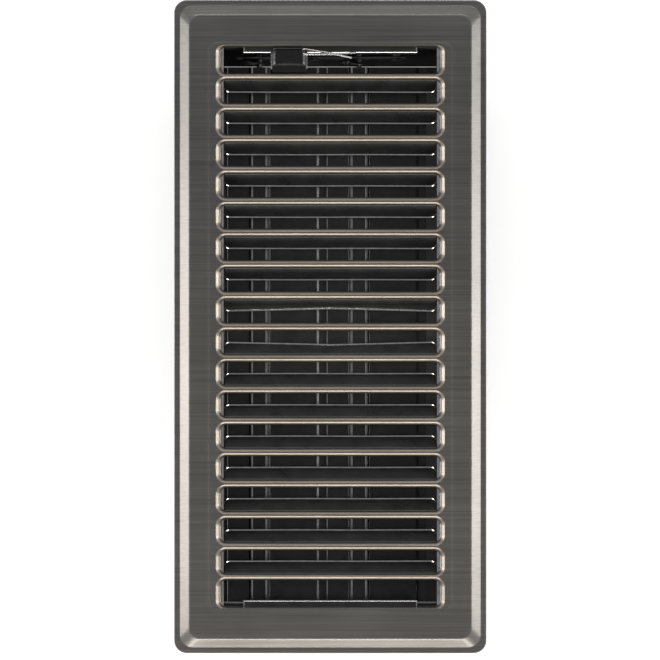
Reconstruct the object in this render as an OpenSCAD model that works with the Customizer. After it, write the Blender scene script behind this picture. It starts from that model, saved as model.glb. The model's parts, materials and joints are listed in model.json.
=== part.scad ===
// Louvred floor register: a stamped face over a lanced louvre panel, a sheet-steel
// sleeve that drops into the duct, and a two-blade damper worked by a thumb slide.
// X runs across the width, Y along the length and Z up.
// The origin is the centre of the opening in the plane of the floor.

/* [Face] */
// Width of the face plate
face_w = 139.7; // [136:0.1:146]
// Length of the face plate
face_l = 292.1; // [288:0.1:298]
// Corner radius of the face plate
face_r = 5.8; // [5:0.1:9]
// Height of the face plate above the floor
face_h = 4.6; // [4.4:0.1:5]
// Sheet thickness of the face plate
face_t = 1; // [0.8:0.1:1.2]
// Width of the flat rim outside the raised step
rim_w = 2.7; // [2:0.1:4]
// Width of the sloped step between rim and raised field
step_w = 3.4; // [2.5:0.1:5]

/* [Slots] */
// Width of each slot
slot_w = 97.6; // [96:0.1:99]
// Height of the slots that have a fin
slot_h = 10.5; // [9.5:0.1:11]
// Height of the two end slots, which have no fin
end_slot_h = 12; // [11.6:0.1:12.4]
// Distance between slot centres
slot_pitch = 14.02; // [13.9:0.01:14.1]
// Corner radius of each slot
slot_r = 2.5; // [1:0.1:4]

/* [Louvre panel] */
// Thickness of the louvre, sleeve and blade sheet
sheet_t = 0.6; // [0.5:0.05:0.7]
// Length of each fin from its bend to its free edge
fin_len = 10.2; // [8:0.1:11]
// Lean of each fin from upright
fin_lean = 28; // [20:1:32]
// How far the free edge of the two middle fins dips at its centre
fin_dip = 2.4; // [0.2:0.1:3]

/* [Sleeve] */
// Inner width of the sleeve
box_w = 97.2; // [97:0.1:97.6]
// Inner length of the sleeve
box_l = 249.6; // [249.4:0.1:250.2]
// Depth of the sleeve below the floor
box_d = 57.2; // [56:0.1:62]

/* [Damper] */
// Depth of the damper pivots below the floor
pivot_d = 24.6; // [24:0.1:26]
// Distance between the two pivots
pivot_gap = 45; // [44.8:0.1:45.2]
// Radius of the pivot rods
rod_r = 1.2; // [1:0.05:1.4]
// Running clearance around each pivot rod
rod_clear = 0.06; // [0.02:0.01:0.1]
// Opening angle of the damper
open_deg = 70; // [60:1:70]
// Length of each crank
crank_len = 10; // [9:0.1:10]

/* [Hidden] */
$fn = 48;
eps = 0.01;
gap = 0.3;                                // free space between moving and fixed pieces

slot_n = 18;
end_slot_y = (slot_n - 1) * slot_pitch / 2;
collar_t = 0.8;                           // thickness of the drawn lip under each slot
panel_top = 2.4;                          // the louvre panel lies under the drawn lips
panel_mid = panel_top - sheet_t / 2;
flange_top = panel_top - sheet_t;         // the sleeve's flanges lie under the panel
panel_w = 112;
panel_l = 262;
panel_r = 3;
window_w = 95.4;
fin_w = window_w - 1;
fin_corner_r = 2.5;

flap_w = 77.6;                            // folded end flaps of the louvre panel
flap_d = 8;
wall_y = box_l / 2;                       // inner face of the end walls
wall_x = box_w / 2;                       // inner face of the side walls
flap_y = wall_y - 2.6;                    // inner face of the flaps
flange_w = 4;
tab_w = 8;                                // corner tabs of the end walls
rivet_r = 1.6;
rivet_head_r = 2.8;
rivet_z = [-12, -45];

// Each damper blade has a short arm on the left of its pivot and a long arm on the right.
pivot_x = [-32.1, -32.1 + pivot_gap];
short_arm = 14.5;
long_arm = pivot_gap - short_arm + 1;     // laps 1 mm under the next short arm
strip_w = 3.3;                            // half width of the strip that holds the rod
joggle = 0.75;                            // arms stand this far above and below the pivot
bead_r = rod_r + 0.7;
hub_r = rod_r + 1.2;                      // round end of each crank, on its rod
blade_y = [-wall_y + 0.5, flap_y - 5];
seal_z = -pivot_d - hub_r - gap;          // top of the ledge between the blades and the upper end wall
ledge_t = sheet_t;
ledge_left_x = pivot_x[0] - short_arm + 1.2;
ledge_right_x = pivot_x[1] + long_arm - 1;

// Layers of the linkage, from the end wall inwards.
bar_t = 0.8;
bar_y = flap_y - 1.6;                     // inner face of the link bar
crank_y = bar_y - 2;                      // inner face of the cranks
crank_t = 0.8;
pin_r = 1.2;
lean = open_deg / 2;                      // each crank leans this far left when closed
pin_dx = -crank_len * sin(lean);
pin_low = -pivot_d + crank_len * cos(lean);
pin_high = -pivot_d + crank_len;
travel = 2 * crank_len * sin(lean);
pin_play = 0.35;                          // takes up the arc of the pins in the bar's slots
bar_x = [-42, 34];
bar_z = [-19.8, -11.4];
stud_x = [-8, 30];
stud_z = (bar_z[0] + bar_z[1]) / 2;
stud_r = 1.5;
stud_play = 0.4;
riser_w = 8;
riser_top = 0.6;

knob_x = -18.4;
knob_w = 16.4;
knob_y = [end_slot_y - end_slot_h / 2 + 0.4, end_slot_y + end_slot_h / 2 - 0.4];
knob_z = [panel_top + 0.35, face_h - 0.25];
stem_w = 10;
wire_r = 0.4;
wire_sides = 12;
wire_bend_x = -13;                        // where the hairpin turns, in a notch of the knob
wire_y = [121.6, 124.1];
wire_z = [3.95, 3.1];                     // the two legs cross one above the other
wire_path = [
    [11.4, 122.4, wire_z[1]], [3.7, 121.7, wire_z[1]], [-11.8, wire_y[1], wire_z[1]],
    [wire_bend_x, 122.9, 3.5], [-11.8, wire_y[0], wire_z[0]], [2.4, wire_y[0], wire_z[0]],
    [9.6, 120.1, wire_z[0]]
];

// Flat shapes and sheets

module rounded_rect(w, l, r) {
    square([w - 2 * r, l], center = true);
    square([w, l - 2 * r], center = true);
    for (sx = [-1, 1], sy = [-1, 1])
        translate([sx * (w / 2 - r), sy * (l / 2 - r)])
            circle(r);
}

module slab(w, l, r, z, h) {
    translate([0, 0, z])
        linear_extrude(h)
            rounded_rect(w, l, r);
}

module block(x, y, z) {
    translate([x[0], y[0], z[0]])
        cube([x[1] - x[0], y[1] - y[0], z[1] - z[0]]);
}

// A cylinder along Y from y[0] to y[1]
module rod_y(x, z, y, r) {
    translate([x, y[0], z])
        rotate([-90, 0, 0])
            cylinder(h = y[1] - y[0], r = r);
}

// A cylinder along X from x[0] to x[1]
module rod_x(x, y, z, r) {
    translate([x[0], y, z])
        rotate([0, 90, 0])
            cylinder(h = x[1] - x[0], r = r);
}

// A round-ended opening through the link bar, long in X or in Z
module bar_slot(x, z, r) {
    y = [bar_y - 1, bar_y + bar_t + 1];
    for (px = x, pz = z)
        rod_y(px, pz, y, r);
    if (x[1] > x[0])
        block(x, y, [z[0] - r, z[0] + r]);
    if (z[1] > z[0])
        block([x[0] - r, x[0] + r], y, z);
}

// Face

function slot_y(i) = (i - (slot_n - 1) / 2) * slot_pitch;
function slot_height(i) = (i == 0 || i == slot_n - 1) ? end_slot_h : slot_h;

module face_skin(inset, top) {
    hull() {
        slab(face_w - 2 * inset, face_l - 2 * inset, face_r, 0, face_t + 0.4);
        slab(face_w - 2 * (inset + step_w), face_l - 2 * (inset + step_w), face_r,
            top - eps, eps);
    }
}

module face_plate() {
    color([0.36, 0.35, 0.33])
        difference() {
            union() {
                difference() {
                    union() {
                        slab(face_w, face_l, face_r, 0, face_t + 0.4);
                        face_skin(rim_w, face_h);
                    }
                    translate([0, 0, -face_t])
                        face_skin(rim_w + face_t, face_h);
                }
                for (i = [0:slot_n - 1])
                    translate([0, slot_y(i), 0])
                        slab(slot_w + 2 * collar_t, slot_height(i) + 2 * collar_t,
                            slot_r + collar_t, panel_top, face_h - face_t - panel_top + 0.2);
            }
            for (i = [0:slot_n - 1])
                translate([0, slot_y(i), 0])
                    slab(slot_w, slot_height(i), slot_r, -1, face_h + 2);
        }
}

// Louvre panel: one sheet whose fins are cut on three sides and bent down

module fin(dip) {
    rotate([90 - fin_lean, 0, 0])
        translate([0, 0, -sheet_t / 2])
            linear_extrude(sheet_t)
                difference() {
                    union() {
                        translate([-fin_w / 2, -fin_len + fin_corner_r])
                            square([fin_w, fin_len - fin_corner_r]);
                        translate([-fin_w / 2 + fin_corner_r, -fin_len])
                            square([fin_w - 2 * fin_corner_r, fin_len]);
                        for (s = [-1, 1])
                            translate([s * (fin_w / 2 - fin_corner_r), -fin_len + fin_corner_r])
                                circle(fin_corner_r);
                    }
                    if (dip > 0)
                        polygon([[-fin_w / 2 + fin_corner_r, -fin_len - eps],
                            [0, -fin_len + dip], [fin_w / 2 - fin_corner_r, -fin_len - eps]]);
                }
}

module panel_fins() {
    for (i = [slot_n / 2:slot_n - 2]) {
        dip = (i == slot_n / 2) ? fin_dip : 0;
        translate([0, slot_y(i) + slot_h / 2, panel_mid])
            fin(dip);
    }
}

// Opening for one end slot: wider than the flap at both of its sides
module end_window() {
    inner = end_slot_y - end_slot_h / 2;
    outer = wall_y;
    z = [panel_top - sheet_t - 1, panel_top + 1];
    block([-window_w / 2, window_w / 2], [inner, flap_y], z);
    for (s = [-1, 1])
        translate([s * (flap_w + window_w) / 4, 0, 0])
            block([-(window_w - flap_w) / 4, (window_w - flap_w) / 4], [inner, outer], z);
}

module louvre_panel() {
    color([0.05, 0.05, 0.055])
        union() {
            difference() {
                slab(panel_w, panel_l, panel_r, flange_top, sheet_t);
                for (i = [1:slot_n - 2])
                    translate([0, slot_y(i), panel_mid])
                        cube([window_w, slot_h, 2], center = true);
                for (m = [0, 1])
                    mirror([0, m, 0])
                        end_window();
            }
            for (m = [0, 1])
                mirror([0, m, 0]) {
                    panel_fins();
                    block([-flap_w / 2, flap_w / 2], [flap_y, flap_y + sheet_t],
                        [panel_top - flap_d, panel_top]);
                }
        }
}

// Sleeve

// A side wall with its top flange; the ledge is the stop that the damper closes on
module box_side(ledge_x, ledge_z) {
    block([wall_x, wall_x + sheet_t], [-wall_y, wall_y], [-box_d, flange_top]);
    block([wall_x, wall_x + sheet_t + flange_w], [-wall_y, wall_y],
        [flange_top - sheet_t, flange_top]);
    block([ledge_x, wall_x + sheet_t / 2], [blade_y[0], blade_y[1]], [ledge_z, ledge_z + ledge_t]);
}

module side_holes() {
    for (s = [-1, 1], z = rivet_z)
        rod_x([wall_x - 1, wall_x + 2], s * (wall_y - tab_w / 2), z, rivet_r);
}

module box_side_left() {
    color([0.07, 0.07, 0.075])
        mirror([1, 0, 0])
            difference() {
                box_side(-ledge_left_x, -pivot_d + joggle - sheet_t / 2 - gap - ledge_t);
                side_holes();
            }
}

module box_side_right() {
    color([0.07, 0.07, 0.075])
        difference() {
            box_side(ledge_right_x, -pivot_d - joggle + sheet_t / 2 + gap);
            side_holes();
        }
}

// An end wall, holed for the rods, with a tab folded round each corner
module box_end() {
    out_x = wall_x + 2 * sheet_t;
    difference() {
        union() {
            block([-out_x, out_x], [wall_y, wall_y + sheet_t], [-box_d, flange_top - sheet_t]);
            block([-flap_w / 2, flap_w / 2], [wall_y, wall_y + sheet_t + flange_w],
                [flange_top - sheet_t, flange_top]);
            for (s = [0, 1])
                mirror([s, 0, 0])
                    block([wall_x + sheet_t, out_x], [wall_y - tab_w, wall_y + sheet_t],
                        [-box_d, flange_top - sheet_t]);
        }
        for (s = [0, 1])
            mirror([s, 0, 0])
                for (z = rivet_z)
                    rod_x([wall_x - 1, wall_x + 2], wall_y - tab_w / 2, z, rivet_r);
        for (x = pivot_x)
            rod_y(x, -pivot_d, [wall_y - 1, wall_y + 2], rod_r + rod_clear);
    }
}

// The upper end wall also has a ledge under the linkage that closes the gap past the blades
module box_end_upper() {
    color([0.07, 0.07, 0.075])
        difference() {
            union() {
                box_end();
                block([-wall_x + gap, wall_x - gap], [blade_y[1] + 0.5, wall_y + sheet_t / 2],
                    [seal_z - sheet_t, seal_z]);
            }
            for (x = stud_x)
                rod_y(x, stud_z, [wall_y - 1, wall_y + 2], stud_r);
        }
}

module box_end_lower() {
    color([0.07, 0.07, 0.075])
        mirror([0, 1, 0])
            box_end();
}

module corner_rivets() {
    color([0.6, 0.6, 0.62])
        for (sx = [0, 1], sy = [-1, 1], z = rivet_z)
            mirror([sx, 0, 0]) {
                y = sy * (wall_y - tab_w / 2);
                rod_x([wall_x - 0.5, wall_x + 2 * sheet_t + 0.5], y, z, rivet_r);
                rod_x([wall_x - 0.5, wall_x], y, z, rivet_head_r);
                rod_x([wall_x + 2 * sheet_t, wall_x + 2 * sheet_t + 0.5], y, z, rivet_head_r);
            }
}

// Headed studs on the upper end wall that the link bar slides on
module guide_studs() {
    color([0.2, 0.2, 0.2])
        for (x = stud_x) {
            rod_y(x, stud_z, [bar_y - gap - 0.5, wall_y + sheet_t + 0.5], stud_r);
            rod_y(x, stud_z, [bar_y - gap - 0.5, bar_y - gap], stud_r + 1.3);
            rod_y(x, stud_z, [bar_y + bar_t + gap, wall_y], stud_r + 0.9);
            rod_y(x, stud_z, [wall_y + sheet_t, wall_y + sheet_t + 0.5], stud_r + 1.1);
        }
}

// Damper

module blade(x) {
    half = sheet_t / 2;
    color([0.09, 0.09, 0.095])
        translate([x, 0, -pivot_d])
            difference() {
                union() {
                    rod_y(0, 0, blade_y, bead_r);
                    block([-strip_w, strip_w], blade_y, [-half, half]);
                    block([-strip_w, -strip_w + sheet_t], blade_y, [-half, joggle + half]);
                    block([-short_arm, -strip_w + sheet_t], blade_y, [joggle - half, joggle + half]);
                    block([strip_w - sheet_t, strip_w], blade_y, [-joggle - half, half]);
                    block([strip_w - sheet_t, long_arm], blade_y, [-joggle - half, -joggle + half]);
                }
                rod_y(0, 0, [blade_y[0] - 1, blade_y[1] + 1], rod_r);
            }
}

module pivot_rod(x) {
    color([0.55, 0.55, 0.57])
        rod_y(x, -pivot_d, [-wall_y - sheet_t - 1.6, wall_y + sheet_t + 1], rod_r);
}

module crank(x) {
    y = [crank_y, crank_y + crank_t];
    eye_r = pin_r + 1.4;
    color([0.2, 0.2, 0.2])
        translate([x, 0, -pivot_d])
            rotate([0, -lean, 0])
                difference() {
                    union() {
                        rod_y(0, 0, y, hub_r);
                        rod_y(0, crank_len, y, eye_r);
                        block([-eye_r, eye_r], y, [0, crank_len]);
                    }
                    rod_y(0, 0, [y[0] - 1, y[1] + 1], rod_r);
                    rod_y(0, crank_len, [y[0] - 1, y[1] + 1], pin_r);
                }
}

module crank_pin(x) {
    color([0.2, 0.2, 0.2]) {
        rod_y(x + pin_dx, pin_low, [crank_y - 0.6, bar_y + bar_t + 0.5], pin_r);
        rod_y(x + pin_dx, pin_low, [crank_y - 0.6, crank_y], pin_r + 0.8);
    }
}

module rod_clip(x) {
    y = [-wall_y - sheet_t - 0.8, -wall_y - sheet_t - gap];
    color([0.3, 0.3, 0.31])
        difference() {
            rod_y(x, -pivot_d, y, rod_r + 2);
            rod_y(x, -pivot_d, [y[0] - 1, y[1] + 1], rod_r);
        }
}

module blade_left() {
    blade(pivot_x[0]);
}

module blade_right() {
    blade(pivot_x[1]);
}

module pivot_rod_left() {
    pivot_rod(pivot_x[0]);
}

module pivot_rod_right() {
    pivot_rod(pivot_x[1]);
}

module crank_left() {
    crank(pivot_x[0]);
}

module crank_right() {
    crank(pivot_x[1]);
}

module crank_pin_left() {
    crank_pin(pivot_x[0]);
}

module crank_pin_right() {
    crank_pin(pivot_x[1]);
}

module rod_clip_left() {
    rod_clip(pivot_x[0]);
}

module rod_clip_right() {
    rod_clip(pivot_x[1]);
}

// Thumb slide

module link_bar() {
    y = [bar_y, bar_y + bar_t];
    color([0.2, 0.2, 0.2])
        difference() {
            union() {
                block(bar_x, y, bar_z);
                block([knob_x - riser_w / 2, knob_x + riser_w / 2], y, [bar_z[1] - 1, riser_top]);
            }
            for (x = pivot_x)
                bar_slot([x + pin_dx, x + pin_dx], [pin_low, pin_high], pin_r + pin_play);
            for (x = stud_x)
                bar_slot([x - travel - stud_play, x + stud_play], [stud_z, stud_z],
                    stud_r + gap);
        }
}

module thumb_knob() {
    head_x = [knob_x - knob_w / 2, knob_x + knob_w / 2];
    stem_y = [bar_y - 1.1, bar_y + bar_t + 0.5];
    dish_r = 9;
    color([0.03, 0.03, 0.03])
        difference() {
            union() {
                block(head_x, knob_y, knob_z);
                block([knob_x - stem_w / 2, knob_x + stem_w / 2], stem_y, [-7, knob_z[1] - 0.5]);
            }
            block([knob_x - riser_w / 2, knob_x + riser_w / 2], [bar_y, bar_y + bar_t],
                [-8, riser_top]);
            translate([knob_x, end_slot_y + 0.8, knob_z[1] + dish_r - 0.7])
                sphere(dish_r);
            block([wire_bend_x - 1, head_x[1] + 1], [wire_y[0] - 0.6, wire_y[1] + 0.6],
                [wire_z[1] - wire_r - 0.1, knob_z[1] + 1]);
        }
}

// A hairpin of spring wire that starts in the knob's notch and whose legs cross

function unit(v) = v / norm(v);
function step(i) = unit(wire_path[i + 1] - wire_path[i]);
wire_last = len(wire_path) - 1;
function wire_dir(i) = (i == 0) ? step(0) : (i == wire_last) ? step(i - 1) : unit(step(i - 1) + step(i));
function mitre(i) = (i == 0 || i == wire_last) ? 1 : 1 / sqrt((1 + step(i - 1) * step(i)) / 2);
function wire_side(i) = unit(cross(wire_dir(i), [0, 0, 1])) * mitre(i);
function wire_point(i, a) = wire_path[i] + wire_r * (cos(a) * wire_side(i) + sin(a) * [0, 0, 1]);

module friction_wire() {
    n = wire_sides;
    points = [for (i = [0:wire_last], k = [0:n - 1]) wire_point(i, k * 360 / n)];
    walls = [for (i = [0:wire_last - 1], k = [0:n - 1])
        [i * n + k, (i + 1) * n + k, (i + 1) * n + (k + 1) % n, i * n + (k + 1) % n]];
    ends = [[for (k = [0:n - 1]) k], [for (k = [n - 1:-1:0]) wire_last * n + k]];
    color([0.8, 0.8, 0.8])
        polyhedron(points, concat(walls, ends));
}

face_plate();
louvre_panel();
box_side_left();
box_side_right();
box_end_upper();
box_end_lower();
corner_rivets();
guide_studs();
blade_left();
pivot_rod_left();
crank_left();
crank_pin_left();
rod_clip_left();
blade_right();
pivot_rod_right();
crank_right();
crank_pin_right();
rod_clip_right();
link_bar();
thumb_knob();
friction_wire();
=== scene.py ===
"""Looks for the louvred floor register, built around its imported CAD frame. Metres throughout."""

import json
import math

import bmesh
import bpy
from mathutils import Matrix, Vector


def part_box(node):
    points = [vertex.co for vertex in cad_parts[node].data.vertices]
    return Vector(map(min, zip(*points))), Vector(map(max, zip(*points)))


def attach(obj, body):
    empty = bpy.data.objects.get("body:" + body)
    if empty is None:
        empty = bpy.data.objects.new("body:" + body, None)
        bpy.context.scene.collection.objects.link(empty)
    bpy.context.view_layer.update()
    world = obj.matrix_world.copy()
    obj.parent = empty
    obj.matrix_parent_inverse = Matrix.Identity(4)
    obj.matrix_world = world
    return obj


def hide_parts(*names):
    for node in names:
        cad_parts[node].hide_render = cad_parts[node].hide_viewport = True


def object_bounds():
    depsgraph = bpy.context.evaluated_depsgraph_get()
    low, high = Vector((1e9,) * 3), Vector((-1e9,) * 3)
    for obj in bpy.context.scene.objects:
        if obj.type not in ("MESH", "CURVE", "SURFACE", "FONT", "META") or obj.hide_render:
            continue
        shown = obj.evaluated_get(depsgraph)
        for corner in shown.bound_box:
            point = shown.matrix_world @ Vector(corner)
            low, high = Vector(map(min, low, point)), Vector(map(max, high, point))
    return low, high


MM = 0.001
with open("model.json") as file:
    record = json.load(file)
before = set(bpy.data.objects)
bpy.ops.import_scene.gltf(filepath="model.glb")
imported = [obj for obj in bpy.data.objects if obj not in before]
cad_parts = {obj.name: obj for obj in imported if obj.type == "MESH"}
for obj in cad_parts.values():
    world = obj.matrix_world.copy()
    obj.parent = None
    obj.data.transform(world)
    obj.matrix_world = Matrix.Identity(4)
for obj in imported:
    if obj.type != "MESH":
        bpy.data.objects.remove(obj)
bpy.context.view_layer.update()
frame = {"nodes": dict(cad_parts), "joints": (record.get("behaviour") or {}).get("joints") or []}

# ---------------------------------------------------------------- sizes taken from the frame

face_lo, face_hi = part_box("face_plate")
panel_lo, panel_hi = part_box("louvre_panel")
knob_lo, knob_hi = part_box("thumb_knob")
half_w, half_l, face_top = face_hi.x, face_hi.y, face_hi.z

SLOTS = 18
PITCH = 14.02 * MM
SLOT_HALF_W = 48.8 * MM
SLOT_H = 10.5 * MM
END_SLOT_H = 12 * MM
SHEET = 0.6 * MM
FACE_SHEET = 1.0 * MM
# The rolled lip: reach past a slot's end, reach past its long edges, drop, and all in mm.
LIP = [(2.6, 1.5, 0.0), (2.42, 1.38, 0.02), (2.22, 1.24, 0.08), (1.9, 0.92, 0.3), (1.55, 0.6, 0.55),
       (1.1, 0.36, 0.9), (0.7, 0.2, 1.3), (0.3, 0.08, 1.7), (0.0, 0.0, 2.05)]
COLLAR = 0.8 * MM


def slot_y(i):
    return (i - (SLOTS - 1) / 2) * PITCH


def slot_half_h(i):
    return (END_SLOT_H if i in (0, SLOTS - 1) else SLOT_H) / 2


# ---------------------------------------------------------------- mesh helpers


def new_object(name, bm, smooth_angle=35):
    bmesh.ops.recalc_face_normals(bm, faces=bm.faces)
    mesh = bpy.data.meshes.new(name)
    bm.to_mesh(mesh)
    bm.free()
    ob = bpy.data.objects.new(name, mesh)
    bpy.context.scene.collection.objects.link(ob)
    smooth(ob, smooth_angle)
    return ob


def smooth(ob, angle):
    mesh = ob.data
    mesh.shade_smooth()
    mesh.set_sharp_from_angle(angle=math.radians(angle))


def apply_modifiers(ob):
    depsgraph = bpy.context.evaluated_depsgraph_get()
    mesh = bpy.data.meshes.new_from_object(ob.evaluated_get(depsgraph))
    ob.modifiers.clear()
    ob.data = mesh


def rounded_loop(a, b, r, z, y0=0.0, x0=0.0, corner=10, long_x=24, long_y=24):
    """Points of a rounded rectangle of half sizes a and b, always the same number in the same order."""
    points = []
    quarter = [(1, 1, 0), (-1, 1, 90), (-1, -1, 180), (1, -1, 270)]
    for q, (sx, sy, start) in enumerate(quarter):
        cx, cy = sx * (a - r), sy * (b - r)
        for k in range(corner + 1):
            t = math.radians(start + 90 * k / corner)
            points.append(Vector((x0 + cx + r * math.cos(t), y0 + cy + r * math.sin(t), z)))
        nx, ny, _ = quarter[(q + 1) % 4]
        t = math.radians(start + 90)
        here = Vector((cx + r * math.cos(t), cy + r * math.sin(t)))
        there = Vector((nx * (a - r) + r * math.cos(t), ny * (b - r) + r * math.sin(t)))
        steps = long_x if q % 2 == 0 else long_y
        for k in range(1, steps):
            p = here.lerp(there, k / steps)
            points.append(Vector((x0 + p.x, y0 + p.y, z)))
    return points


def bridge(bm, lower, upper):
    """Joins two rings of vertices by quads."""
    n = len(lower)
    for k in range(n):
        bm.faces.new((lower[k], lower[(k + 1) % n], upper[(k + 1) % n], upper[k]))


def add_loops(bm, loops):
    """Joins rings of points by quads and returns the rings of vertices."""
    rings = [[bm.verts.new(p) for p in loop] for loop in loops]
    for lower, upper in zip(rings, rings[1:]):
        bridge(bm, lower, upper)
    return rings


def fill_between(bm, rings):
    """Fills the flat region bounded by the first ring and pierced by the others."""
    edges = []
    for ring in rings:
        for k, v in enumerate(ring):
            edges.append(bm.edges.get((v, ring[(k + 1) % len(ring)])))
    bmesh.ops.triangle_fill(bm, use_beauty=True, use_dissolve=False, edges=edges)


# ---------------------------------------------------------------- materials


def material(name):
    mat = bpy.data.materials.new(name)
    mat.use_nodes = True
    nodes, links = mat.node_tree.nodes, mat.node_tree.links
    return mat, nodes, links, nodes["Principled BSDF"]


def node(nodes, kind, **settings):
    made = nodes.new(kind)
    for key, value in settings.items():
        if key in made.inputs:
            made.inputs[key].default_value = value
        else:
            setattr(made, key, value)
    return made


def noise(nodes, links, coords, stretch, scale, detail=4.0):
    """Noise over the object's own coordinates, stretched by a scale for each axis."""
    mapping = node(nodes, "ShaderNodeMapping", Scale=stretch)
    texture = node(nodes, "ShaderNodeTexNoise", Scale=scale, Detail=detail)
    links.new(coords.outputs["Object"], mapping.inputs["Vector"])
    links.new(mapping.outputs["Vector"], texture.inputs["Vector"])
    return texture.outputs["Fac"]


def ramp(nodes, links, source, stops):
    made = nodes.new("ShaderNodeValToRGB")
    elements = made.color_ramp.elements
    while len(elements) < len(stops):
        elements.new(0.5)
    for element, (place, colour) in zip(elements, stops):
        element.position = place
        element.color = (*colour, 1)
    links.new(source, made.inputs["Fac"])
    return made.outputs["Color"]


def bump(nodes, links, height, strength, distance, shader):
    made = node(nodes, "ShaderNodeBump", Strength=strength, Distance=distance)
    links.new(height, made.inputs["Height"])
    links.new(made.outputs["Normal"], shader.inputs["Normal"])


def grey(v):
    return (v, v, v)


def brushed_nickel():
    """Dark plated steel brushed along X, with the plating rubbed back to a warmer tone on raised edges, and
    with painted light that makes the plate lighter at its +Y edge and lighter still towards −Y.
    """
    mat, nodes, links, shader = material("brushed_nickel")
    coords = nodes.new("ShaderNodeTexCoord")
    streaks = noise(nodes, links, coords, (14, 1500, 300), 1.0, 6)
    clouds = noise(nodes, links, coords, (30, 30, 30), 1.0, 2)
    split = nodes.new("ShaderNodeSeparateXYZ")
    links.new(coords.outputs["Object"], split.inputs["Vector"])
    along = node(nodes, "ShaderNodeMapRange")
    along.inputs["From Min"].default_value = half_l
    along.inputs["From Max"].default_value = -half_l
    links.new(split.outputs["Y"], along.inputs["Value"])
    # Painted light: along Y the tone is lighter at the +Y edge, darkest just inside it, and lightest towards
    # −Y.
    painted_light_tone = ramp(nodes, links, along.outputs["Result"],
                [(0.0, (0.18, 0.176, 0.167)), (0.12, (0.148, 0.144, 0.136)), (1.0, (0.228, 0.217, 0.2))])
    relief = node(nodes, "ShaderNodeAttribute", attribute_name="relief")
    blend = node(nodes, "ShaderNodeMix", data_type="RGBA")
    links.new(relief.outputs["Fac"], blend.inputs["Factor"])
    links.new(painted_light_tone, blend.inputs["A"])
    blend.inputs["B"].default_value = (0.27, 0.238, 0.198, 1)
    base = blend.outputs["Result"]
    tone = ramp(nodes, links, streaks, [(0.25, grey(0.80)), (0.75, grey(1.15))])
    patch = ramp(nodes, links, clouds, [(0.3, grey(0.93)), (0.7, grey(1.07))])
    mix = node(nodes, "ShaderNodeMix", data_type="RGBA", blend_type="MULTIPLY")
    mix.inputs["Factor"].default_value = 1.0
    links.new(base, mix.inputs["A"])
    links.new(tone, mix.inputs["B"])
    mix2 = node(nodes, "ShaderNodeMix", data_type="RGBA", blend_type="MULTIPLY")
    mix2.inputs["Factor"].default_value = 1.0
    links.new(mix.outputs["Result"], mix2.inputs["A"])
    links.new(patch, mix2.inputs["B"])
    links.new(mix2.outputs["Result"], shader.inputs["Base Color"])
    rough = node(nodes, "ShaderNodeMapRange")
    rough.inputs["To Min"].default_value = 0.30
    rough.inputs["To Max"].default_value = 0.42
    links.new(streaks, rough.inputs["Value"])
    links.new(rough.outputs["Result"], shader.inputs["Roughness"])
    shader.inputs["Metallic"].default_value = 0.9
    bump(nodes, links, streaks, 0.25, 0.00004, shader)
    return mat


def painted(name, shade, rough, grain=900, orange_peel=0.25):
    """Thin gloss paint on sheet steel, with faint mottling."""
    mat, nodes, links, shader = material(name)
    coords = nodes.new("ShaderNodeTexCoord")
    mottle = noise(nodes, links, coords, (1, 1, 1), 120, 3)
    fine = noise(nodes, links, coords, (1, 1, 1), grain, 2)
    colour = ramp(nodes, links, mottle, [(0.3, grey(shade * 0.8)), (0.75, grey(shade * 1.35))])
    links.new(colour, shader.inputs["Base Color"])
    spread = node(nodes, "ShaderNodeMapRange")
    spread.inputs["To Min"].default_value = rough * 0.8
    spread.inputs["To Max"].default_value = rough * 1.3
    links.new(mottle, spread.inputs["Value"])
    links.new(spread.outputs["Result"], shader.inputs["Roughness"])
    bump(nodes, links, fine, orange_peel, 0.00003, shader)
    return mat


def bare_metal(name, shade, rough, grain=(400, 400, 400), warm=1.0):
    """Plain or plated steel with fine drawn marks."""
    mat, nodes, links, shader = material(name)
    coords = nodes.new("ShaderNodeTexCoord")
    marks = noise(nodes, links, coords, grain, 1.0, 4)
    low = (shade * 0.8 * warm, shade * 0.8, shade * 0.8 / warm)
    high = (shade * 1.15 * warm, shade * 1.15, shade * 1.15 / warm)
    colour = ramp(nodes, links, marks, [(0.3, low), (0.7, high)])
    links.new(colour, shader.inputs["Base Color"])
    spread = node(nodes, "ShaderNodeMapRange")
    spread.inputs["To Min"].default_value = rough * 0.8
    spread.inputs["To Max"].default_value = rough * 1.25
    links.new(marks, spread.inputs["Value"])
    links.new(spread.outputs["Result"], shader.inputs["Roughness"])
    shader.inputs["Metallic"].default_value = 1.0
    bump(nodes, links, marks, 0.2, 0.00003, shader)
    return mat


def moulded_plastic():
    mat, nodes, links, shader = material("moulded_black")
    coords = nodes.new("ShaderNodeTexCoord")
    fine = noise(nodes, links, coords, (1, 1, 1), 1500, 3)
    colour = ramp(nodes, links, fine, [(0.3, grey(0.004)), (0.7, grey(0.008))])
    links.new(colour, shader.inputs["Base Color"])
    shader.inputs["Roughness"].default_value = 0.2
    shader.inputs["Specular IOR Level"].default_value = 0.5
    bump(nodes, links, fine, 0.2, 0.00003, shader)
    return mat


nickel = brushed_nickel()
black_paint = painted("black_paint", 0.035, 0.28)
dark_steel = bare_metal("phosphated_steel", 0.07, 0.42)
inner_paint = painted("sleeve_paint", 0.04, 0.34)
blade_paint = painted("blade_paint", 0.03, 0.2)
# Bright bare steel: real on the sheets' cut edges, the fins' turned-up free edges, the flaps' bare ends and the
# blades' upper long edges. On the blades' crown shoulders and the windows' rolled ends it is a painted
# highlight, and on the flaps' folds it is partly one.
bare_edge_and_highlight = bare_metal("bare_edge_and_highlight", 0.68, 0.2)
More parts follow.
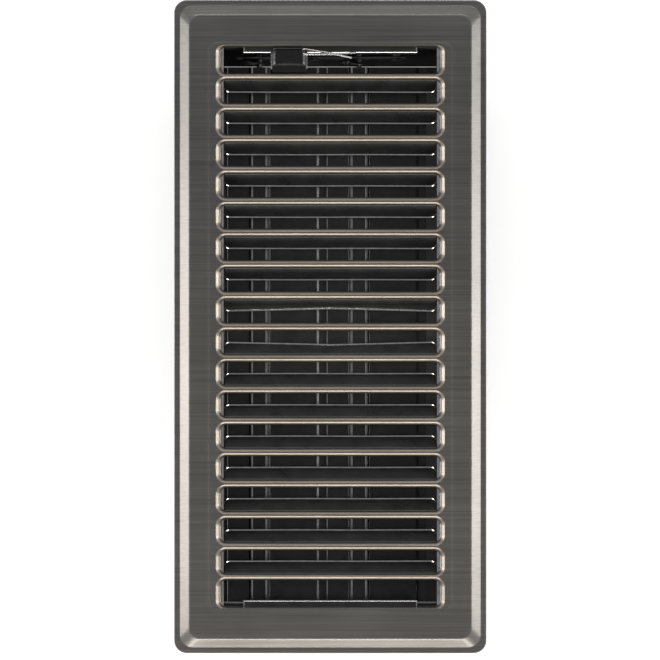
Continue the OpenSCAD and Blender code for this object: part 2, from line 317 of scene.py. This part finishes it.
# A near-black copy of the paint: painted shade for the flat sheet round the end flaps, under the face's end
# slots.
painted_shade_black = painted("painted_shade_black", 0.008, 0.4)
zinc = bare_metal("zinc_plate", 0.52, 0.38, (200, 200, 60))
bright_steel = bare_metal("bright_steel", 0.62, 0.25)
spring_steel = bare_metal("spring_steel", 0.22, 0.3)
plastic = moulded_plastic()


def finish_piece(ob, mats, body, slot, *cad_nodes):
    for mat in mats:
        ob.data.materials.append(mat)
    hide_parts(*cad_nodes)
    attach(ob, body)
    return ob


# ---------------------------------------------------------------- face plate


def face_rim_loops():
    """Rings from the underside field, round the rim and up over the step to the slot field."""
    under = face_top - FACE_SHEET
    rows = []                                     # inset, height, corner radius

    def row(inset, z, r):
        rows.append((inset, z, r))

    rim_h = 1.4                                   # height of the flat rim in mm
    row(8.9, under / MM, 5.2)
    row(8.0, under / MM, 5.0)
    row(7.4, under / MM - 0.15, 5.0)
    row(3.8, 0.3, 4.6)
    row(3.5, 0.0, 4.7)
    row(0.25, 0.0, 5.7)
    row(0.06, 0.08, 5.8)
    row(0.0, 0.3, 5.8)
    row(0.0, 0.75, 5.8)
    for k in range(1, 7):                         # rounded outer edge
        t = math.radians(15 * k)
        row(0.3 * (1 - math.cos(t)), 1.05 + 0.35 * math.sin(t), 5.8)
    row(1.6, rim_h, 5.6)
    for inset, z in ((2.5, rim_h), (2.7, rim_h + 0.04), (2.9, rim_h + 0.17), (3.05, rim_h + 0.3)):
        row(inset, z, 5.4)                        # foot of the step
    for k in range(1, 7):                         # its even slope
        row(3.05 + 3.1 * k / 6, rim_h + 0.3 + 2.5 * k / 6, 5.4)
    for inset, z in ((6.4, 4.37), (6.7, 4.5), (7.1, 4.58), (7.6, 4.6)):
        row(inset, z, 5.3)
    row(8.4, face_top / MM, 5.2)
    return [rounded_loop(half_w - i * MM, half_l - i * MM, r * MM, z * MM) for i, z, r in rows]


def border_loops():
    """The faint embossed line round the slot field."""
    a, b, r = 54.9 * MM, 127.3 * MM, 4 * MM
    half = [(1.5, 0.0), (0.8, -0.02), (0.35, -0.1)]
    rows = half + [(0.0, -0.14)] + [(-d, z) for d, z in reversed(half)]
    return [rounded_loop(a + d * MM, b + d * MM, r + d * MM, face_top + z * MM) for d, z in rows]


def slot_loops(i):
    """Rings from the flat top, over the rolled lip, down the collar and back to the underside."""
    b, y0, r = slot_half_h(i), slot_y(i), 2.5 * MM
    floor_z = 2.42 * MM
    loops = []
    for end, side, drop in LIP:
        loops.append(rounded_loop(SLOT_HALF_W + end * MM, b + side * MM, r + 0.7 * end * MM,
                                  face_top - drop * MM, y0))
    loops.append(rounded_loop(SLOT_HALF_W, b, r, floor_z + 0.1 * MM, y0))
    loops.append(rounded_loop(SLOT_HALF_W + 0.1 * MM, b + 0.1 * MM, r, floor_z, y0))
    loops.append(rounded_loop(SLOT_HALF_W + COLLAR, b + COLLAR, r + COLLAR, floor_z, y0))
    loops.append(rounded_loop(SLOT_HALF_W + COLLAR, b + COLLAR, r + COLLAR, face_top - FACE_SHEET, y0))
    return loops


def set_relief(bm, rings, values):
    layer = bm.verts.layers.float["relief"]
    for ring, value in zip(rings, values):
        for v in ring:
            v[layer] = value


def relieve_slot(bm, i, rings):
    """The bars between slots are rubbed right across, and the lips elsewhere only where they turn down."""
    layer = bm.verts.layers.float["relief"]
    set_relief(bm, rings, [0.0, 0.4, 0.8, 1.0, 1.0, 0.8, 0.4, 0.2, 0.2] + [0.2] * 4)
    for ring, least in zip(rings[:3], (0.85, 0.9, 0.95)):
        for v in ring:
            outer_side = (i == 0 and v.co.y < slot_y(0)) or (i == SLOTS - 1 and v.co.y > slot_y(i))
            if abs(v.co.x) < SLOT_HALF_W - 1 * MM and not outer_side:
                v[layer] = max(v[layer], least)


def build_face():
    bm = bmesh.new()
    bm.verts.layers.float.new("relief")
    rim = add_loops(bm, face_rim_loops())
    set_relief(bm, rim, [0.0] * 18 + [0.05] + [0.1] * 8 + [0.05] + [0.0] * 20)
    border = add_loops(bm, border_loops())
    bridge(bm, rim[-1], border[0])
    slots = [add_loops(bm, slot_loops(i)) for i in range(SLOTS)]
    for i, rings in enumerate(slots):
        relieve_slot(bm, i, rings)
    fill_between(bm, [border[-1]] + [rings[0] for rings in slots])
    fill_between(bm, [rim[0]] + [rings[-1] for rings in slots])
    return new_object("face", bm, 50)


face = build_face()
finish_piece(face, [nickel], "register_frame", "face", "face_plate")

# ---------------------------------------------------------------- louvre panel

FIN_LEN = 10.2 * MM
FIN_LEAN = math.radians(28)
FIN_CORNER = 2.5 * MM
FIN_DIP = 2.4 * MM
BEND = 0.2 * MM
LAST_SHARE = 0.93                 # where along a fin its free edge begins to turn up
BURR = [(0, 0), (0.2, 0.22), (0.38, 0.3), (0.95, 0.3)]   # run and drop along that bare edge, in mm
FOLD = 0.6 * MM                   # fold radius of the end flaps
FLAP_Y = 122.5 * MM               # middle of the flaps' sheet
FLAP_SUPPORT = 2 * MM             # a row of vertices below the fold that keeps the flap flat
FLAP_DEPTH = 7.7 * MM
FLAP_EDGE = 0.5 * MM              # width of the bare edge at a flap's two ends
ROLL = 0.9 * MM                   # width and drop of the rolled ends of the windows
ROLL_DROP = 0.15 * MM
WALL_Y = 124.8 * MM               # inner face of the sleeve's end walls
FLAP_HALF = 38.8 * MM             # half width of the folded flap at each end
fin_half = 47.2 * MM
window_half = 47.7 * MM
panel_mid = panel_hi.z - SHEET / 2


def fin_columns():
    """Places across a fin, close together at its two rounded corners."""
    ends = [FIN_CORNER * s for s in (0, 0.04, 0.12, 0.25, 0.42, 0.62, 0.82, 1)]
    left = [-fin_half + d for d in ends] + [(-fin_half + FIN_CORNER - FLAP_HALF) / 2]
    inner = FLAP_HALF - FLAP_EDGE
    middle = [-FLAP_HALF] + [-inner + 2 * inner * k / 20 for k in range(21)] + [FLAP_HALF]
    return left + middle + [-x for x in reversed(left)]


def fin_reach(x, dip):
    """How long the fin is at a place across it."""
    side = fin_half - abs(x)
    corner = 0.0
    if side < FIN_CORNER:
        corner = FIN_CORNER - math.sqrt(max(0.0, FIN_CORNER ** 2 - (FIN_CORNER - side) ** 2))
    ripple = 0.08 * MM * math.sin(x / (9 * MM))
    return FIN_LEN - corner - ripple - dip * max(0.0, 1 - abs(x) / (fin_half - FIN_CORNER))


def fin_place(reach):
    """Run and drop of a point that far along the fin's middle surface, round its bend."""
    turn = math.pi / 2 - FIN_LEAN
    arc = BEND * turn
    if reach < arc:
        t = reach / BEND
        return BEND * math.sin(t), BEND * (1 - math.cos(t))
    rest = reach - arc
    run = BEND * math.sin(turn) + rest * math.cos(turn)
    return run, BEND * (1 - math.cos(turn)) + rest * math.sin(turn)


def build_panel():
    """One sheet with windows. Each fin grows from its window's outer long edge; slots 1 and 18 have a flap."""
    bm = bmesh.new()
    roll = window_half + ROLL
    columns = [panel_lo.x, -roll, -window_half] + fin_columns() + [window_half, roll, panel_hi.x]
    rim_in = FLAP_HALF - FLAP_EDGE
    windows = []
    for i in range(SLOTS // 2, SLOTS - 1):
        windows.append((slot_y(i) - SLOT_H / 2, slot_y(i) + SLOT_H / 2, FIN_DIP if i == SLOTS // 2 else 0))
    fold_y = FLAP_Y + FOLD
    end_inner = slot_y(SLOTS - 1) - END_SLOT_H / 2
    sheet_rows = [0.0, panel_hi.y, end_inner, fold_y, fold_y + 0.12 * MM, WALL_Y]
    sheet_rows = sorted(sheet_rows + [y for w in windows for y in w[:2]])
    verts = {}

    def corner(x, y, z):
        if z == panel_mid and abs(abs(x) - window_half) < 1e-7:
            z -= ROLL_DROP
        key = (round(x * 1e6), round(y * 1e6), round(z * 1e6))
        if key not in verts:
            verts[key] = bm.verts.new((x, y, z))
        return verts[key]

    def cell(a, b, c, d):
        return bm.faces.new([corner(*p) for p in (a, b, c, d)])

    for side in (1, -1):
        for y0, y1 in zip(sheet_rows, sheet_rows[1:]):
            for x0, x1 in zip(columns, columns[1:]):
                mx, my = (x0 + x1) / 2, (y0 + y1) / 2
                if abs(mx) < window_half:
                    if any(w[0] < my < w[1] for w in windows):
                        continue
                    if end_inner < my < fold_y or (fold_y < my < WALL_Y and abs(mx) > FLAP_HALF):
                        continue
                made = cell((x0, side * y0, panel_mid), (x1, side * y0, panel_mid),
                            (x1, side * y1, panel_mid), (x0, side * y1, panel_mid))
                beside_flap = fold_y < my < WALL_Y and rim_in < abs(mx) < FLAP_HALF
                # The windows' rolled ends take the bright steel as a painted highlight; the strips beside the
                # flaps are their bare edges.
                if window_half < abs(mx) < roll or beside_flap:
                    made.material_index = 1
                # The flat sheet above the end flaps takes the near-black copy of the paint: painted shade.
                elif my > fold_y and abs(mx) < window_half:
                    made.material_index = 2
        for y0, y1, dip in windows:
            inner = fin_columns()
            shares = [0, 0.007, 0.014, 0.0212, 0.032, 0.3, 0.6, 0.85, LAST_SHARE, 1, 2, 3]
            for s0, s1 in zip(shares, shares[1:]):
                for x0, x1 in zip(inner, inner[1:]):
                    points = []
                    for x, s in ((x0, s0), (x1, s0), (x1, s1), (x0, s1)):
                        run, drop = fin_place(fin_reach(x, dip) * min(s, LAST_SHARE))
                        if s > LAST_SHARE:
                            run, drop = run + BURR[s][0] * MM, drop + BURR[s][1] * MM
                        points.append((x, side * (y1 - run), panel_mid - drop))
                    made = cell(*points)
                    made.material_index = 1 if s1 >= 1 else 0
        flap_columns = [x for x in columns if abs(x) <= FLAP_HALF + 1e-9]
        section = [(fold_y - FOLD * math.sin(t), FOLD * (1 - math.cos(t)))
                   for t in (math.radians(22.5 * k) for k in range(5))]
        section += [(FLAP_Y, FLAP_SUPPORT), (FLAP_Y, FLAP_DEPTH)]
        for k, ((ya, da), (yb, db)) in enumerate(zip(section, section[1:])):
            for x0, x1 in zip(flap_columns, flap_columns[1:]):
                made = cell((x0, side * ya, panel_mid - da), (x1, side * ya, panel_mid - da),
                            (x1, side * yb, panel_mid - db), (x0, side * yb, panel_mid - db))
                # The fold's arc takes the bright steel: a bare fold edge that is partly a painted highlight.
                made.material_index = 1 if k in (1, 2, 3) else 0
    ob = new_object("louvres", bm, 40)
    thick = ob.modifiers.new("thickness", "SOLIDIFY")
    thick.thickness = SHEET
    thick.offset = 0
    thick.use_even_offset = True
    thick.material_offset_rim = 1
    apply_modifiers(ob)
    smooth(ob, 50)
    return ob


louvres = build_panel()
finish_piece(louvres, [black_paint, bare_edge_and_highlight, painted_shade_black], "register_frame", "black_sheet", "louvre_panel")

# ---------------------------------------------------------------- CAD pieces with broken edges


def refine(cad_node, name, width, segments=2):
    """A copy of a CAD piece whose sharp edges are rounded inwards by a small width."""
    source = frame["nodes"][cad_node]
    bm = bmesh.new()
    bm.from_mesh(source.data)
    bmesh.ops.remove_doubles(bm, verts=bm.verts, dist=0.002 * MM)
    bmesh.ops.dissolve_limit(bm, angle_limit=math.radians(0.6), verts=bm.verts, edges=bm.edges)
    ob = new_object(name, bm, 30)
    edge = ob.modifiers.new("edge", "BEVEL")
    edge.width = width
    edge.segments = segments
    edge.limit_method = "ANGLE"
    edge.angle_limit = math.radians(40)
    edge.use_clamp_overlap = True
    apply_modifiers(ob)
    smooth(ob, 40)
    return ob


REFINED = [
    ("box_side_left", "side_wall_left", 0.2, inner_paint, "register_frame", "black_sheet"),
    ("box_side_right", "side_wall_right", 0.2, inner_paint, "register_frame", "black_sheet"),
    ("box_end_upper", "end_wall_upper", 0.2, inner_paint, "register_frame", "black_sheet"),
    ("box_end_lower", "end_wall_lower", 0.2, inner_paint, "register_frame", "black_sheet"),
    ("corner_rivets", "rivets", 0.2, bright_steel, "register_frame", "rivet"),
    ("guide_studs", "studs", 0.12, dark_steel, "register_frame", "stud"),
    ("link_bar", "slide_bar", 0.1, dark_steel, "thumb_slide", "dark_steel"),
    ("friction_wire", "spring_wire", 0.0, bright_steel, "thumb_slide", "wire"),
]
for side in ("left", "right"):
    REFINED += [
        ("pivot_rod_" + side, "rod_" + side, 0.15, zinc, side + "_damper", "zinc"),
        ("crank_" + side, "crank_arm_" + side, 0.1, dark_steel, side + "_damper", "dark_steel"),
        ("crank_pin_" + side, "pin_" + side, 0.12, dark_steel, side + "_damper", "stud"),
        ("rod_clip_" + side, "clip_" + side, 0.1, spring_steel, side + "_damper", "clip"),
    ]
for cad_node, name, width, mat, body, slot in REFINED:
    finish_piece(refine(cad_node, name, max(width, 0.02) * MM), [mat], body, slot, cad_node)

# ---------------------------------------------------------------- damper blades


WORN_EDGE = 0.4 * MM              # width of bare metal at a blade's upper long edge
CREST_HIGHLIGHT = 3.17 * MM                 # painted highlight lines of bright steel on both shoulders of the crown over the rod
CREST_HIGHLIGHT_HALF = 0.3 * MM
BLADE_ROWS = 30


def sheet_profile(points, bend, steps=5):
    """Rounds the corners of a line of (x, z) points to a bend radius."""
    out = [Vector(points[0])]
    for before, here, after in zip(points, points[1:], points[2:]):
        p, a, b = Vector(here), Vector(before), Vector(after)
        reach = min(bend, (a - p).length * 0.45, (b - p).length * 0.45)
        start, end = p + (a - p).normalized() * reach, p + (b - p).normalized() * reach
        for k in range(steps + 1):
            t = k / steps
            out.append(start.lerp(p, t).lerp(p.lerp(end, t), t))
    out.append(Vector(points[-1]))
    return out


def build_blade(cad_node, name, axis_x, axis_z):
    """A sheet with a crown over its rod, a short arm on the left and a long arm, joggled down, on the right."""
    lo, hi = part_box(cad_node)
    step_h, crown, lap = 0.75 * MM, 1.6 * MM, 0.15 * MM
    left, right = lo.x, hi.x
    shape = [(-4.4, step_h), (-3.8, crown), (-3.45, crown), (-2.9, crown), (2.9, crown), (3.45, crown),
             (3.8, crown), (4.4, -lap), (25.9, -lap), (26.9, -step_h)]
    points = [(left, axis_z + step_h), (left + WORN_EDGE, axis_z + step_h)]
    points += [(axis_x + x * MM, axis_z + z) for x, z in shape]
    points += [(right, axis_z - step_h)]
    profile = sheet_profile(points, 0.8 * MM, 5)
    bm = bmesh.new()
    grid = []
    for r in range(BLADE_ROWS + 1):
        y = lo.y + (hi.y - lo.y) * r / BLADE_ROWS
        grid.append([bm.verts.new((p.x, y, p.y)) for p in profile])
    for r0, r1 in zip(grid, grid[1:]):
        for k in range(len(profile) - 1):
            made = bm.faces.new((r0[k], r0[k + 1], r1[k + 1], r1[k]))
            mid = (profile[k].x + profile[k + 1].x) / 2
            # Bright steel on the crown's shoulders is a painted highlight; along the upper long edge it is bare
            # worn metal.
            on_crest_highlight = abs(abs(mid - axis_x) - CREST_HIGHLIGHT) < CREST_HIGHLIGHT_HALF
            made.material_index = 1 if on_crest_highlight or mid < left + WORN_EDGE else 0
    ob = new_object(name, bm, 40)
    thick = ob.modifiers.new("thickness", "SOLIDIFY")
    thick.thickness = SHEET
    thick.offset = 0
    apply_modifiers(ob)
    smooth(ob, 50)
    return ob


for joint in frame["joints"]:
    if joint["type"] == "hinge":
        side = joint["child"].split("_")[0]
        blade = build_blade("blade_" + side, "damper_" + side, joint["pos_m"][0], joint["pos_m"][2])
        finish_piece(blade, [blade_paint, bare_edge_and_highlight], joint["child"], "blade_sheet", "blade_" + side)

# ---------------------------------------------------------------- thumb knob


def build_knob():
    """A moulded head whose raised pad is dished, with a lower skirt round it, on a square stem."""
    cx, cy = (knob_lo.x + knob_hi.x) / 2, (knob_lo.y + knob_hi.y) / 2
    a, b = (knob_hi.x - knob_lo.x) / 2, (knob_hi.y - knob_lo.y) / 2
    top, base = knob_hi.z, 2.76 * MM
    pad_y = 1.0 * MM

    def loop(da, db, r, z, y=0.0):
        return rounded_loop(a + da * MM, b + db * MM, r * MM, z, cy + y, cx, 6, 8, 6)

    stem = (5.0 * MM - a) / MM, (1.6 * MM - b) / MM
    stem_y = 0.95 * MM
    loops = [
        loop(stem[0] - 0.02, stem[1], 0.6, -7.0 * MM, stem_y),
        loop(stem[0], stem[1], 0.6, base - 0.4 * MM, stem_y),
        loop(stem[0] + 0.4, stem[1] + 0.4, 0.6, base, stem_y),
        loop(-0.7, -0.7, 1.6, base),
        loop(-0.15, -0.15, 2.0, base + 0.12 * MM),
        loop(0, 0, 2.2, base + 0.3 * MM),
        loop(-0.3, -0.4, 2.2, base + 0.55 * MM),
        loop(-1.0, -1.6, 1.0, base + 0.62 * MM, pad_y * 0.7),
        loop(-1.25, -2.0, 0.8, base + 0.75 * MM, pad_y),
        loop(-1.7, -2.2, 0.7, top - 0.32 * MM, pad_y),
        loop(-2.12, -2.55, 0.6, top, pad_y),
        loop(-2.5, -2.7, 0.5, top - 0.05 * MM, pad_y),
    ]
    for k in range(1, 7):
        t = k / 7
        loops.append(loop(-2.5 - (a / MM - 2.7) * t, -2.7 - (b / MM - 2.9) * t, 0.5 * (1 - t) + 0.03,
                          top - (0.05 + 0.3 * math.sin(t * math.pi / 2)) * MM, pad_y))
    bm = bmesh.new()
    rings = add_loops(bm, loops)
    bm.faces.new(rings[0])
    bm.faces.new(rings[-1])
    return new_object("knob", bm, 50)


finish_piece(build_knob(), [plastic], "thumb_slide", "knob", "thumb_knob")

# ---------------------------------------------------------------- stage, lights and camera


def floor_material():
    mat, nodes, links, shader = material("pale_floor")
    coords = nodes.new("ShaderNodeTexCoord")
    soft = noise(nodes, links, coords, (1, 1, 1), 3, 2)
    colour = ramp(nodes, links, soft, [(0.2, grey(0.95)), (0.8, grey(0.97))])
    links.new(colour, shader.inputs["Base Color"])
    shader.inputs["Roughness"].default_value = 0.8
    shader.inputs["Emission Color"].default_value = (1, 1, 1, 1)
    shader.inputs["Emission Strength"].default_value = 0.3
    return mat


def build_floor():
    bm = bmesh.new()
    reach = 3.0
    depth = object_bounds()[0][2] - 0.0005
    signs = ((-1, -1), (1, -1), (1, 1), (-1, 1))
    bm.faces.new([bm.verts.new((x * reach, y * reach, depth)) for x, y in signs])
    ob = new_object("floor", bm)
    ob.data.materials.append(floor_material())


def area_light(name, place, aim, size, power, colour=(1, 1, 1)):
    data = bpy.data.lights.new(name, "AREA")
    data.shape = "RECTANGLE"
    data.size, data.size_y = size
    data.energy = power
    data.color = colour
    ob = bpy.data.objects.new(name, data)
    ob.location = place
    ob.rotation_euler = (Vector(aim) - Vector(place)).to_track_quat("-Z", "Y").to_euler()
    bpy.context.scene.collection.objects.link(ob)


build_floor()
area_light("left_box", (-1.1, 0.0, 0.38), (0, 0, 0), (0.30, 1.6), 11)
area_light("right_box", (1.1, 0.0, 0.38), (0, 0, 0), (0.30, 1.6), 10.5)
area_light("near_box", (0.0, -1.3, 0.55), (0, 0, 0), (1.2, 0.30), 10, (1.0, 0.96, 0.91))
area_light("far_box", (0.0, 1.0, 1.1), (0, 0, 0), (1.2, 0.25), 4)


def studio_world():
    """Pale surroundings that darken towards the ceiling."""
    world = bpy.data.worlds.new("studio")
    world.use_nodes = True
    nodes, links = world.node_tree.nodes, world.node_tree.links
    coords = nodes.new("ShaderNodeTexCoord")
    split = nodes.new("ShaderNodeSeparateXYZ")
    links.new(coords.outputs["Generated"], split.inputs["Vector"])
    shade = ramp(nodes, links, split.outputs["Z"], [(0.3, grey(0.8)), (0.75, grey(0.28)), (1.0, grey(0.22))])
    links.new(shade, nodes["Background"].inputs["Color"])
    bpy.context.scene.world = world


studio_world()

VIEW_SPAN = 294.7 * MM                            # what the square frame takes in at the face
CAMERA_DISTANCE = 2.4
camera_data = bpy.data.cameras.new("camera")
camera_data.sensor_width = 36
camera_data.lens = 36 * CAMERA_DISTANCE / VIEW_SPAN
camera = bpy.data.objects.new("camera", camera_data)
camera.location = (-0.13 * MM, -1.5 * MM, CAMERA_DISTANCE + face_top)
bpy.context.scene.collection.objects.link(camera)
bpy.context.scene.camera = camera
bpy.context.scene.view_settings.view_transform = "Standard"
